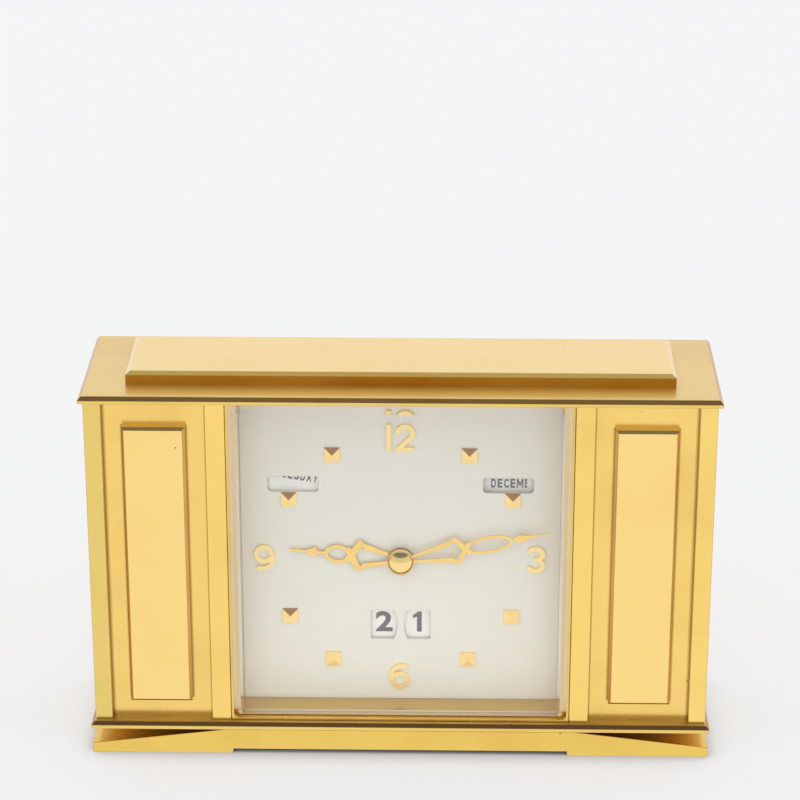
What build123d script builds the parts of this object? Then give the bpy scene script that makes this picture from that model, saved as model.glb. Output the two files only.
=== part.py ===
from build123d import *
import math
import os

# Brass desk clock with a calendar dial. Millimetres, +Z up, the front faces -Y.
# The origin is the middle of the foot's underside.

# Fits shared by all pieces
overrun = 1.0
fixed_gap = 0.02
running_gap = 0.05
loose_gap = 0.10
clear_gap = 0.30
edge_break = 0.25

# Foot, plates and top slab
plate_width = 203.0
plate_depth = 56.0
plate_thickness = 2.4
plate_chamfer = 1.2
foot_end_inset = 0.3
foot_inset = 0.25
foot_height = 8.7
foot_arch_height = 1.55
foot_pad_lead = 0.3
foot_flat_lead = 1.9
foot_end_height = 3.4
slab_end_inset = 14.2
slab_side_inset = 11.2
slab_height = 4.3
slab_chamfer_run = 1.4
slab_chamfer_drop = 1.0

# Body shell
body_inset = 1.3
body_height = 112.6
front_overhang = 2.6
back_overhang = 2.6
panel_thickness = 2.0
strip_thickness = 2.3
outer_strip_width = 5.7
inner_strip_width = 6.4
block_side_margin = 6.25
block_end_margin = 7.8
block_drop = 0.7
block_thickness = 3.4
block_chamfer = 0.9
block_screw_inset = 18.5
side_thickness = 2.0
flange_width = 5.2
flange_thickness = 1.5
cover_thickness = 1.5
cover_screw_margin = 9.0

# Tie rods and screws
rod_radius = 3.0
rod_front_gap = 7.1
rod_back_gap = 1.0
screw_radius = 1.5
screw_reach = 10.0
sunk_head_radius = 2.8
sunk_head_height = 1.6
pan_head_radius = 2.6
pan_head_height = 1.6
small_screw_radius = 1.2
small_head_radius = 2.2
small_head_height = 1.2
slot_width = 0.7
slot_depth = 0.6
foot_screw_inset = 7.4
foot_screw_margin = 10.0
slab_screw_inset = 27.3
slab_screw_bite = 2.6
block_screw_bite = 2.2

# Battery, holder and door
cell_radius = 13.1
cell_length = 50.0
cell_cap_radius = 3.2
cell_cap_height = 1.5
cell_gap = 0.3
door_room = 0.6
holder_wall = 1.0
holder_rod_room = 2.15
holder_flange_room = 0.45
holder_rise = 32.0
contact_radius = 6.0
contact_thickness = 0.5
contact_bump = 1.2
contact_bump_radius = 2.5
hinge_pin_radius = 0.7
hinge_barrel_radius = 1.6
hinge_lug_width = 3.0
hinge_lug_drop = 4.0
hinge_stand_off = 1.0
door_tab_width = 8.0
door_tab_height = 1.2
door_tab_depth = 1.5

# Window unit
bezel_rim = 0.75
bezel_lip = 0.8
bezel_depth = 4.3
bezel_corner = 1.5
glass_overlap = 0.25
glass_set_back = 0.1
glass_thickness = 3.2
glass_bevel_width = 3.4
glass_bevel_depth = 1.9
liner_wall = 1.0
liner_side_inset = 2.65
liner_floor_inset = 0.55
liner_lip_width = 1.5
liner_lip_thickness = 0.8

# Thicknesses and spacings front to back
dial_thickness = 1.0
marker_wall = 0.5
marker_peak = 0.55
numeral_thickness = 0.8
hand_thickness = 0.4
hour_hand_lift = 0.8
hand_spacing = 0.8
disc_thickness = 0.5
disc_gap = 0.5
gear_thickness = 1.0
pinion_overlap = 0.2
layer_gap = 0.7
movement_plate_thickness = 1.5
balance_thickness = 1.2
hairspring_height = 0.8
coil_flange = 0.6
stem_collar_length = 0.9
knob_chamfer = 0.5
knob_lift = 0.7
pillar_screw_bite = 5.0

# Pins, pillars, stems and knobs
post_radius = 1.6
post_tail_radius = 1.0
pillar_radius = 2.5
pillar_tail_radius = 1.5
stem_radius = 1.5
stem_collar_radius = 3.0
knob_radius = 5.5
set_knob_radius = 6.5
knob_height = 7.0
knob_flutes = 24
flute_depth = 0.35
arbor_radius = 0.75
minute_arbor_radius = 1.5
hour_pipe_wall = 0.95
roller_radius = 1.6
balance_hub_radius = 2.0
hairspring_wire = 0.2
hairspring_stud = 1.0
date_disc_gap = 1.0

# Shares: the dial's place between front and back, and how much of the depth that the cell
# leaves free lies behind the rear cover
dial_recess_share = 14.5 / 50.8
cover_recess_share = 8.9 / 15.3

# Widths, levels and planes worked out from the sizes above
foot_width = plate_width - 2 * foot_end_inset
slab_width = plate_width - 2 * slab_end_inset
slab_depth = plate_depth - 2 * slab_side_inset
body_width = plate_width - 2 * body_inset
base_bottom = foot_height
base_top = base_bottom + plate_thickness
body_top = base_top + body_height
plates_top = body_top + plate_thickness
body_middle = (base_top + body_top) / 2
front = front_overhang - plate_depth / 2
back = plate_depth / 2 - back_overhang
field = front + strip_thickness
panel_back = field + panel_thickness
half_body = body_width / 2
side_inner = half_body - side_thickness
field_outer = half_body - outer_strip_width

# Battery bay: its width and depth follow the cell, and the window takes the rest of the width
holder_inner = cell_radius + cell_gap
holder_half = holder_inner + holder_wall
rod_reach = inner_strip_width / 2 + rod_radius
bay_width = (
    rod_reach + holder_rod_room + 2 * holder_half + holder_flange_room + flange_width + side_thickness
)
window_width = body_width - 2 * bay_width
half_window = window_width / 2
field_inner = half_window + inner_strip_width
cell_x = half_window + rod_reach + holder_rod_room + holder_half
holder_depth = holder_wall + 2 * holder_inner + door_room
free_depth = back - panel_back - small_head_height - loose_gap - holder_depth - cover_thickness
cover_recess = cover_recess_share * free_depth
cover_back = back - cover_recess
cover_front = cover_back - cover_thickness
cell_y = cover_front - holder_inner - door_room
contact_height = contact_thickness + contact_bump
cell_bottom = holder_rise + contact_height
cell_top = cell_bottom + cell_length
holder_top = cell_top + contact_height
lug_outer = holder_inner - clear_gap
hinge_y = cover_back + hinge_stand_off
hinge_z = holder_rise + loose_gap + hinge_barrel_radius

# Blocks, tie rods and screws
block_centre = (field_inner + field_outer) / 2
block_middle = body_middle - block_drop
block_width = field_outer - field_inner - 2 * block_side_margin
block_height = body_height - 2 * block_end_margin
rod_x = half_window + inner_strip_width / 2
rod_depths = (panel_back + rod_front_gap + rod_radius, cover_front - rod_back_gap - rod_radius)

# Window unit outlines: half widths and half heights
bezel_half = (half_window - loose_gap, body_height / 2 - loose_gap)
opening_half = tuple(half - bezel_rim for half in bezel_half)
glass_half = tuple(half + glass_overlap for half in opening_half)
pocket_half = tuple(half + loose_gap for half in glass_half)
liner_half = (opening_half[0] - liner_side_inset, opening_half[1] - liner_floor_inset)
dial_half = tuple(half - running_gap for half in liner_half)
glass_front = front + glass_set_back
glass_back = glass_front + glass_thickness
bezel_back = front + bezel_depth

# The dial, hands and movement are drawn for a dial of this half width, and grow with the dial
dial_drawn_half = 51.85
unit = min(dial_half) / dial_drawn_half

# Markers and numerals
hand_axis_drop = 3.55 * unit
marker_size = 5.0 * unit
marker_top = 0.2 * unit
numeral_height = 9.4 * unit
numeral_stroke = 1.5 * unit
numeral_width = 7.6 * unit
numeral_edge_gap = 0.8 * unit
side_numeral_gap = 4.05 * unit
one_offset = 3.9 * unit
two_offset = 1.4 * unit
two_width = 6.3 * unit
six_offset = 0.8 * unit
marker_places = (
    (22.15 * unit, 36.6 * unit),
    (36.3 * unit, 20.9 * unit),
)
twelve_radius = min(dial_half) - hand_axis_drop - numeral_height / 2 - numeral_edge_gap
side_numeral_radius = min(dial_half) - numeral_width / 2 - side_numeral_gap

# Hands and hub
hour_hand_length = 36.4 * unit
hour_hand_half_width = 4.5 * unit
minute_hand_edge_gap = 1.45 * unit
minute_hand_half_width = 4.0 * unit
minute_hand_length = min(dial_half) - minute_hand_edge_gap
hour_hand_clockwise = 275.2
minute_hand_clockwise = 77.9
hub_radius = 4.33 * unit
hub_barrel = 1.7 * unit
hub_dome = 2.2 * unit
hub_round = 0.6 * unit
hour_eye_radius = 4.3 * unit
minute_eye_radius = 4.3 * unit
hour_strokes = {
    "root": 0.95 * unit,
    "arm": 1.05 * unit,
    "ribbon": 2.2 * unit,
    "loop": 1.15 * unit,
    "neck": 1.0 * unit,
    "tip": 0.7 * unit,
}
minute_strokes = {
    "root": 0.5 * unit,
    "arm": 0.7 * unit,
    "ribbon": 1.7 * unit,
    "loop": 0.9 * unit,
    "neck": 0.6 * unit,
    "tip": 0.25 * unit,
}

# Calendar discs and their windows
arbor_spacing = 41.0 * unit
word_disc_rise = 26.15 * unit
date_disc_drop = 24.0 * unit
day_disc_radius = 22.5 * unit
month_disc_radius = 23.0 * unit
word_window_place = 34.8 * unit
word_window_width = 16.5 * unit
word_window_height = 5.6 * unit
word_window_corner = 1.2 * unit
date_window_width = 8.9 * unit
date_window_height = 10.8 * unit
date_window_gap = 2.0 * unit
date_window_bulge = 1.2 * unit
date_window_corner = 0.8 * unit

# Movement plates, pillars and posts
plate_half_width = 31.0 * unit
plate_reach_up = 49.0 * unit
plate_reach_down = 41.0 * unit
movement_plate_corner = 4.0 * unit
pillar_inset = 4.0 * unit
post_side = 16.5 * unit
post_top_inset = 5.0 * unit
post_bottom_inset = 4.0 * unit
post_up = plate_reach_up - post_top_inset
post_down = plate_reach_down - post_bottom_inset

# Gears
pressure_angle = 20.0
wheel_addendum_share = 0.65
pinion_addendum_share = 0.85
dedendum_share = 1.1
cannon_teeth = 12
minute_wheel_teeth = 36
minute_pinion_teeth = 10
hour_wheel_teeth = 40
train_wheel_teeth = 60
train_pinion_teeth = 10
index_teeth = 15
tooth_backlash = 0.12 * unit
motion_module = 0.5 * unit
centre_module = 0.45 * unit
third_module = 0.40 * unit
index_depth = 1.4 * unit

# Balance and coil
balance_radius = 8.0 * unit
balance_rim = 1.6 * unit
balance_spoke = 1.2 * unit
hairspring_turns = 5
hairspring_steps = 24
hairspring_outer = 5.5 * unit
coil_radius = 3.2 * unit
coil_core_radius = 1.2 * unit
coil_place = 5.6 * unit

# Layers behind the dial, front to back
axis_z = body_middle - hand_axis_drop
dial_front = front + dial_recess_share * (back - front)
dial_back = dial_front + dial_thickness
near_disc = dial_back + disc_gap
far_disc = near_disc + disc_thickness + disc_gap
hour_wheel_front = far_disc + disc_thickness + disc_gap
minute_wheel_front = hour_wheel_front + gear_thickness + clear_gap
plate_front = minute_wheel_front + gear_thickness + layer_gap
plate_back = plate_front + movement_plate_thickness
centre_wheel_front = plate_back + layer_gap
third_wheel_front = centre_wheel_front + gear_thickness + pinion_overlap + 2 * layer_gap
index_wheel_front = third_wheel_front + gear_thickness + pinion_overlap + layer_gap
balance_front = index_wheel_front + gear_thickness + layer_gap
hairspring_front = balance_front + balance_thickness + layer_gap
rear_plate_front = hairspring_front + hairspring_height + layer_gap
rear_plate_back = rear_plate_front + movement_plate_thickness
hour_hand_back = dial_front - hour_hand_lift
hour_hand_front = hour_hand_back - hand_thickness
minute_hand_back = hour_hand_front - hand_spacing
minute_hand_front = minute_hand_back - hand_thickness

# Places of the arbors as seen from the front
arbor_x = arbor_spacing / 2
word_z = axis_z + word_disc_rise
date_z = axis_z - date_disc_drop
date_disc_radius = arbor_x - date_disc_gap / 2
motion_distance = motion_module * (cannon_teeth + minute_wheel_teeth) / 2
hour_module = 2 * motion_distance / (minute_pinion_teeth + hour_wheel_teeth)
third_z = axis_z + centre_module * (train_wheel_teeth + train_pinion_teeth) / 2
index_z = third_z + third_module * (train_wheel_teeth + train_pinion_teeth) / 2
balance_distance = balance_radius + arbor_radius + layer_gap
balance_z = index_z + balance_distance
index_radius = balance_distance - roller_radius - clear_gap
minute_wheel_z = axis_z - motion_distance
pillar_x = plate_half_width - pillar_inset
pillar_places = [
    (side * pillar_x, height)
    for side in (-1, 1)
    for height in (axis_z + plate_reach_up - pillar_inset, axis_z - plate_reach_down + pillar_inset)
]
post_places = [
    (-post_side, axis_z),
    (post_side, axis_z),
    (0, axis_z + post_up),
    (0, axis_z - post_down),
]
stem_places = {
    "day": (-arbor_x, word_z, near_disc, day_disc_radius),
    "month": (arbor_x, word_z, far_disc, month_disc_radius),
    "date_tens": (-arbor_x, date_z, near_disc, date_disc_radius),
    "date_units": (arbor_x, date_z, near_disc, date_disc_radius),
}


def block(x_range, y_range, z_range):
    # A box from its lowest and highest corner
    sizes = [high - low for low, high in (x_range, y_range, z_range)]
    middles = [(high + low) / 2 for low, high in (x_range, y_range, z_range)]
    return Pos(*middles) * Box(*sizes)


def along_y(outline, start, end):
    # An outline drawn as seen from the front, carried from one depth to another
    return extrude(Plane.XZ.offset(-end) * outline, end - start)


def along_z(outline, start, end):
    return extrude(Pos(0, 0, start) * outline, end - start)


def round_bar(x, z, radius, start, end):
    return along_y(Pos(x, z) * Circle(radius), start, end)


def turned(x, z, profile):
    # A turned piece: (radius, depth) points about an axis that runs front to back
    outline = make_face(Polyline(*profile, close=True))
    return Pos(x, 0, z) * revolve(outline, Axis.Y)


def group(solids):
    return Compound(children=list(solids))


def mirrored(shape):
    return mirror(shape, about=Plane.YZ)


def rounded_frame(half, corner):
    width, height = half
    return Pos(0, body_middle) * RectangleRounded(2 * width, 2 * height, corner)


def screw(radius, reach, head_radius, head_height, sunk=False):
    # Head's outer face up at zero when sunk, seat at zero otherwise; the shank points down
    low = (Align.CENTER, Align.CENTER, Align.MIN)
    high = (Align.CENTER, Align.CENTER, Align.MAX)
    shank = Cylinder(radius, reach, align=high)
    if sunk:
        head = Cone(radius, head_radius, head_height, align=high)
        top = 0
    else:
        head = Cylinder(head_radius, head_height, align=low)
        top = head_height
    slot = Pos(0, 0, top) * Box(2 * head_radius + overrun, slot_width, 2 * slot_depth)
    return shank + head - slot


def screw_hole(radius, reach, gap, head_radius=0, head_height=0):
    # The room that a screw needs, with a sunk head's seat where it has one
    high = (Align.CENTER, Align.CENTER, Align.MAX)
    hole = Pos(0, 0, overrun) * Cylinder(radius + gap, reach + overrun, align=high)
    if head_radius:
        hole += Cone(radius + gap, head_radius + gap, head_height, align=high)
    return hole


def facing_back(x, y, z):
    # Turns a screw so that its head faces the back
    return Pos(x, y, z) * Rot(X=-90)


def facing_down(x, y, z):
    return Pos(x, y, z) * Rot(X=180)


def gear_outline(teeth, module, addendum_share, phase=0.0):
    # Involute flanks between root and tip, radial below the base circle
    pitch_radius = module * teeth / 2
    base_radius = pitch_radius * math.cos(math.radians(pressure_angle))
    root_radius = pitch_radius - dedendum_share * module
    tip_radius = pitch_radius + addendum_share * module
    half_tooth = math.pi / (2 * teeth) - tooth_backlash / (2 * pitch_radius)
    pressure = math.radians(pressure_angle)
    at_pitch = math.tan(pressure) - pressure

    def half_angle(radius):
        flank = math.acos(min(1.0, base_radius / radius))
        return half_tooth + at_pitch - (math.tan(flank) - flank)

    low = max(base_radius, root_radius)
    radii = [root_radius, low, pitch_radius, (pitch_radius + tip_radius) / 2, tip_radius]
    if low == root_radius:
        radii = radii[1:]
    points = []
    for tooth in range(teeth):
        middle = phase + 2 * math.pi * tooth / teeth
        flank = [(radius, middle - half_angle(max(radius, low))) for radius in radii]
        other = [(radius, 2 * middle - angle) for radius, angle in reversed(flank)]
        points += [(radius * math.cos(angle), radius * math.sin(angle)) for radius, angle in flank + other]
    return make_face(Polyline(*points, close=True))


def gear(place, outline, bore, start, end):
    x, z = place
    return along_y(Pos(x, z) * (outline - Circle(bore)), start, end)


def stroke(start, end, width):
    # A straight stroke with round ends
    length = math.hypot(end[0] - start[0], end[1] - start[1])
    angle = math.degrees(math.atan2(end[1] - start[1], end[0] - start[0]))
    middle = ((start[0] + end[0]) / 2, (start[1] + end[1]) / 2)
    return Pos(*middle) * Rot(Z=angle) * SlotCenterToCenter(length, width)


def base_foot():
    half = foot_width / 2
    pad = half_window - foot_pad_lead
    flat = half_window + foot_flat_lead
    right = [
        (pad, foot_arch_height),
        (pad, 0),
        (half, 0),
        (half, foot_end_height),
        (flat, foot_height),
    ]
    left = [(-x, z) for x, z in reversed(right)]
    outline = make_face(Polyline(*right, *left, close=True))
    shape = along_y(outline, foot_inset - plate_depth / 2, plate_depth / 2 - foot_inset)
    for x, y in foot_screw_places():
        seat = foot_arch_height + pan_head_height + edge_break
        shape -= facing_down(x, y, seat) * screw_hole(screw_radius, foot_height, loose_gap)
        bore = Cylinder(pan_head_radius + loose_gap, 2 * (seat - foot_arch_height))
        shape -= Pos(x, y, foot_arch_height) * bore
    return shape


def foot_screw_places():
    across = half_window - foot_screw_inset
    along = plate_depth / 2 - foot_screw_margin
    return [(x, y) for x in (-across, across) for y in (-along, along)]


def foot_screws():
    seat = foot_arch_height + pan_head_height + edge_break
    reach = base_top - seat - loose_gap
    one = screw(screw_radius, reach, pan_head_radius, pan_head_height)
    return group(facing_down(x, y, seat) * one for x, y in foot_screw_places())


def rod_places():
    return [(x, y) for x in (-rod_x, rod_x) for y in rod_depths]


def plate(level):
    shape = along_z(Rectangle(plate_width, plate_depth), level, level + plate_thickness)
    return chamfer(shape.faces().sort_by(Axis.Z)[-1].edges(), plate_chamfer)


def rod_hole():
    return screw_hole(screw_radius, screw_reach, fixed_gap, sunk_head_radius, sunk_head_height)


def base_plate():
    shape = plate(base_bottom)
    for x, y in rod_places():
        shape -= facing_down(x, y, base_bottom) * rod_hole()
    for x, y in foot_screw_places():
        shape -= facing_down(x, y, base_bottom) * screw_hole(screw_radius, plate_thickness, fixed_gap)
    return shape


def slab_screw_places():
    return [(side * (slab_width / 2 - slab_screw_inset), 0) for side in (-1, 1)]


def top_plate():
    shape = plate(body_top)
    for x, y in rod_places():
        shape -= Pos(x, y, plates_top) * rod_hole()
    for x, y in slab_screw_places():
        shape -= facing_down(x, y, body_top) * screw_hole(screw_radius, plate_thickness + overrun, loose_gap)
    return shape


def top_slab():
    shape = along_z(Rectangle(slab_width, slab_depth), plates_top, plates_top + slab_height)
    top = shape.faces().sort_by(Axis.Z)[-1]
    shape = chamfer(top.edges(), slab_chamfer_run, slab_chamfer_drop, reference=top)
    for x, y in slab_screw_places():
        shape -= facing_down(x, y, plates_top) * screw_hole(screw_radius, slab_screw_bite, fixed_gap)
    return shape


def slab_screws():
    reach = plate_thickness + slab_screw_bite - loose_gap
    one = screw(screw_radius, reach, pan_head_radius, pan_head_height)
    return group(facing_down(x, y, body_top) * one for x, y in slab_screw_places())


def tie_rods():
    rod = along_z(Circle(rod_radius), base_top, body_top)
    rod -= facing_down(0, 0, base_bottom) * screw_hole(screw_radius, screw_reach + loose_gap, fixed_gap)
    rod -= Pos(0, 0, plates_top) * screw_hole(screw_radius, screw_reach + loose_gap, fixed_gap)
    return group(Pos(x, y, 0) * rod for x, y in rod_places())


def tie_rod_screws():
    one = screw(screw_radius, screw_reach, sunk_head_radius, sunk_head_height, sunk=True)
    low = [facing_down(x, y, base_bottom) * one for x, y in rod_places()]
    high = [Pos(x, y, plates_top) * one for x, y in rod_places()]
    return group(low + high)


def block_screw_places():
    reach = block_height / 2 - block_screw_inset
    return [(block_centre, block_middle + side * reach) for side in (-1, 1)]


def right_front_panel():
    shape = block((half_window, half_body), (field, panel_back), (base_top, body_top))
    for x, z in block_screw_places():
        hole = screw_hole(small_screw_radius, panel_thickness + overrun, loose_gap)
        shape -= facing_back(x, panel_back, z) * hole
    return shape


def strip(x_range):
    shape = block(x_range, (front, field), (base_top, body_top))
    return chamfer(shape.faces().sort_by(Axis.Y)[0].edges().filter_by(Axis.Z), edge_break)


def right_outer_strip():
    return strip((field_outer, half_body))


def right_inner_strip():
    return strip((half_window, field_inner))


def right_raised_block():
    half = block_width / 2
    tall = block_height / 2
    x_range = (block_centre - half, block_centre + half)
    z_range = (block_middle - tall, block_middle + tall)
    shape = block(x_range, (field - block_thickness, field), z_range)
    shape = chamfer(shape.faces().sort_by(Axis.Y)[0].edges(), block_chamfer)
    for x, z in block_screw_places():
        shape -= facing_back(x, field, z) * screw_hole(small_screw_radius, block_screw_bite, fixed_gap)
    return shape


def block_screws():
    reach = panel_thickness + block_screw_bite - loose_gap
    one = screw(small_screw_radius, reach, small_head_radius, small_head_height)
    places = [(side * x, z) for side in (-1, 1) for x, z in block_screw_places()]
    return group(facing_back(x, panel_back, z) * one for x, z in places)


def cover_screw_places():
    x = side_inner - flange_width / 2
    heights = (base_top + cover_screw_margin, body_top - cover_screw_margin)
    return [(side * x, z) for side in (-1, 1) for z in heights]


def right_side_plate():
    wall = block((side_inner, half_body), (panel_back, back), (base_top, body_top))
    flange_range = (cover_front - flange_thickness, cover_front)
    flange = block((side_inner - flange_width, side_inner), flange_range, (base_top, body_top))
    shape = wall + flange
    for x, z in cover_screw_places():
        if x > 0:
            hole = screw_hole(small_screw_radius, flange_thickness + overrun, fixed_gap)
            shape -= facing_back(x, cover_front, z) * hole
    return shape


def rear_cover():
    half = side_inner - loose_gap
    shape = block((-half, half), (cover_front, cover_back), (base_top + loose_gap, body_top - loose_gap))
    through = (cover_front - overrun, cover_back + overrun)
    holes = [(x, z, stem_radius + clear_gap) for x, z, _, _ in stem_places.values()]
    holes.append((0, axis_z, minute_arbor_radius + clear_gap))
    holes += [(x, z, small_screw_radius + loose_gap) for x, z in pillar_places + cover_screw_places()]
    for x, z, radius in holes:
        shape -= round_bar(x, z, radius, *through)
    hatch_x = (cell_x - holder_inner, cell_x + holder_inner)
    shape -= block(hatch_x, through, (holder_rise, holder_top))
    return shape + hinge_lugs()


def hinge_lugs():
    # Two ears at the foot of the battery opening that carry the hinge pin
    lugs = []
    for side in (-1, 1):
        edge = cell_x + side * lug_outer
        x_range = sorted((edge, edge - side * hinge_lug_width))
        y_range = (cover_back, hinge_y + hinge_barrel_radius)
        leg = block(x_range, y_range, (holder_rise - hinge_lug_drop, hinge_z))
        circle = Pos(hinge_y, hinge_z) * Circle(hinge_barrel_radius)
        eye = extrude(Plane.YZ.offset(x_range[0]) * circle, hinge_lug_width)
        ear = leg + eye - block(x_range, (cover_front, cover_back), (holder_rise, holder_top))
        lugs.append(ear - hinge_bore(fixed_gap))
    return lugs[0] + lugs[1]


def hinge_bore(gap):
    start = cell_x - holder_inner - overrun
    circle = Pos(hinge_y, hinge_z) * Circle(hinge_pin_radius + gap)
    return extrude(Plane.YZ.offset(start) * circle, 2 * (holder_inner + overrun))


def hinge_pin():
    circle = Pos(hinge_y, hinge_z) * Circle(hinge_pin_radius)
    return extrude(Plane.YZ.offset(cell_x - lug_outer) * circle, 2 * lug_outer)


def battery_door():
    half = holder_inner - loose_gap
    z_range = (holder_rise + loose_gap, holder_top - loose_gap)
    shape = block((cell_x - half, cell_x + half), (cover_front, cover_back), z_range)
    reach = holder_inner - lug_outer + hinge_lug_width + clear_gap
    notch_y = (cover_front - overrun, cover_back + overrun)
    notch_z = (holder_rise - overrun, hinge_z + 2 * hinge_barrel_radius)
    for side in (-1, 1):
        edge = cell_x + side * holder_inner
        x_range = sorted((edge + side * overrun, edge - side * reach))
        shape -= block(x_range, notch_y, notch_z)
    inner = holder_inner - reach
    circle = Pos(hinge_y, hinge_z) * Circle(hinge_barrel_radius)
    shape += extrude(Plane.YZ.offset(cell_x - inner) * circle, 2 * inner)
    tab_x = (cell_x - door_tab_width / 2, cell_x + door_tab_width / 2)
    tab_z = (z_range[1] - 2 * door_tab_height, z_range[1] - door_tab_height)
    shape += block(tab_x, (cover_back, cover_back + door_tab_depth), tab_z)
    return shape - hinge_bore(running_gap)


def rear_cover_screws():
    reach = cover_thickness + flange_thickness
    one = screw(small_screw_radius, reach, small_head_radius, small_head_height)
    return group(facing_back(x, cover_back, z) * one for x, z in cover_screw_places())


def battery_holder():
    # A trough that opens to the back, standing on the rear cover's inner face
    x_range = (cell_x - holder_half, cell_x + holder_half)
    y_front = cell_y - holder_half
    z_range = (holder_rise - holder_wall, holder_top + holder_wall)
    outer = block(x_range, (y_front, cover_front), z_range)
    room_x = (cell_x - holder_inner, cell_x + holder_inner)
    room = block(room_x, (y_front + holder_wall, cover_front + overrun), (holder_rise, holder_top))
    return outer - room


def battery_contacts():
    low = (Align.CENTER, Align.CENTER, Align.MIN)
    plate_disc = Cylinder(contact_radius, contact_thickness, align=low)
    bump = Cone(contact_bump_radius, contact_bump_radius / 2, contact_bump, align=low)
    one = plate_disc + Pos(0, 0, contact_thickness) * bump
    below = Pos(cell_x, cell_y, holder_rise) * one
    above = facing_down(cell_x, cell_y, holder_top) * one
    return group([below, above])


def battery():
    low = (Align.CENTER, Align.CENTER, Align.MIN)
    can_length = cell_length - cell_cap_height
    shape = Cylinder(cell_radius, can_length, align=low)
    shape = fillet(shape.edges(), edge_break)
    shape += Pos(0, 0, can_length) * Cylinder(cell_cap_radius, cell_cap_height, align=low)
    return Pos(cell_x, cell_y, cell_bottom) * shape


def window_bezel():
    outer = rounded_frame(bezel_half, edge_break)
    lip = outer - rounded_frame(opening_half, bezel_corner)
    wall = outer - rounded_frame(pocket_half, bezel_corner)
    return along_y(lip, front, front + bezel_lip) + along_y(wall, front + bezel_lip, bezel_back)


def bevelled_glass():
    edge = along_y(rounded_frame(glass_half, bezel_corner), glass_front + glass_bevel_depth, glass_back)
    inner = tuple(half - glass_bevel_width for half in glass_half)
    low = Plane.XZ.offset(-glass_front - glass_bevel_depth) * rounded_frame(glass_half, bezel_corner)
    high = Plane.XZ.offset(-glass_front) * rounded_frame(inner, edge_break)
    return edge + loft([low.face(), high.face()], ruled=True)


def shadow_box():
    outer = tuple(half + liner_wall for half in liner_half)
    lip = tuple(half - liner_lip_width for half in liner_half)
    inside = rounded_frame(liner_half, edge_break)
    flange = rounded_frame(glass_half, bezel_corner) - inside
    wall = rounded_frame(outer, liner_wall) - inside
    stop = rounded_frame(outer, liner_wall) - rounded_frame(lip, edge_break)
    shape = along_y(flange, glass_back + fixed_gap, bezel_back) + along_y(wall, bezel_back, dial_back)
    return shape + along_y(stop, dial_back, dial_back + liner_lip_thickness)


def date_window(side):
    # Straight outer side, bulged inner side
    inner = date_window_gap / 2
    outer = inner + date_window_width
    tall = date_window_height / 2
    corner = inner + date_window_bulge
    lines = Polyline((corner, tall), (outer, tall), (outer, -tall), (corner, -tall))
    face = make_face(lines + ThreePointArc((corner, -tall), (inner, 0), (corner, tall)))
    face = fillet(face.vertices(), date_window_corner)
    if side < 0:
        face = mirror(face, about=Plane.YZ)
    return Pos(0, date_z) * face


def dial():
    outline = rounded_frame(dial_half, edge_break)
    outline -= Pos(0, axis_z) * Circle(hour_pipe_radius() + clear_gap)
    word = RectangleRounded(word_window_width, word_window_height, word_window_corner)
    for side in (-1, 1):
        outline -= Pos(side * word_window_place, word_z) * word
        outline -= date_window(side)
    return along_y(outline, dial_front, dial_back)


def hour_pipe_radius():
    return minute_arbor_radius + running_gap + hour_pipe_wall


def hour_markers():
    # A flat pyramid on a thin square plate
    square = Rectangle(marker_size, marker_size)
    peak = Pos(0, 0, marker_wall + marker_peak) * Rectangle(marker_top, marker_top)
    pyramid = loft([(Pos(0, 0, marker_wall) * square).face(), peak.face()], ruled=True)
    marker = Rot(X=90) * (extrude(square, marker_wall) + pyramid)
    return group(
        Pos(side * x, dial_front, axis_z + end * z) * marker
        for x, z in marker_places
        for side in (-1, 1)
        for end in (-1, 1)
    )


def arc_stroke(centre, radius, start, sweep):
    # Two halves, so that a nearly closed loop keeps its gap
    half = sweep / 2
    first = SlotArc(CenterArc(centre, radius, start, half), numeral_stroke)
    return first + SlotArc(CenterArc(centre, radius, start + half, half), numeral_stroke)


# Where the strokes of the figures start and how far they turn, in degrees
two_start, two_sweep = -35, 205
three_start, three_sweep = -90, 235
six_start, six_sweep = -180, 320


def figure_two():
    wide = (two_width - numeral_stroke) / 2
    tall = (numeral_height - numeral_stroke) / 2
    centre = (0, tall - wide)
    drop = math.radians(two_start)
    end = (wide * math.cos(drop), centre[1] + wide * math.sin(drop))
    shape = arc_stroke(centre, wide, two_start, two_sweep)
    shape += stroke(end, (-wide, -tall), numeral_stroke)
    return shape + stroke((-wide, -tall), (wide, -tall), numeral_stroke)


def figure_one():
    return Rectangle(numeral_stroke, numeral_height)


def figure_three():
    tall = (numeral_height - numeral_stroke) / 2
    bowl = tall / 2
    upper = arc_stroke((0, bowl), bowl, three_start, three_sweep)
    shape = upper + arc_stroke((0, -bowl), bowl, -three_start - three_sweep, three_sweep)
    return scale(shape, (three_stretch_share, 1, 1))


three_stretch_share = 1.15
six_bowl_share = 0.82
six_tail_shares = ((-0.55, 0.55), (0.8, 0.9))


def figure_six():
    # An open loop whose tail sweeps over the top
    wide = (numeral_width - numeral_stroke) / 2
    tall = (numeral_height - numeral_stroke) / 2
    bowl = wide * six_bowl_share
    loop = arc_stroke((wide - bowl, bowl - tall), bowl, six_start, six_sweep)
    bend, end = [(wide * across, tall * up) for across, up in six_tail_shares]
    tail = ThreePointArc((wide - 2 * bowl, bowl - tall), bend, end)
    return loop + SlotArc(tail, numeral_stroke)


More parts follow.
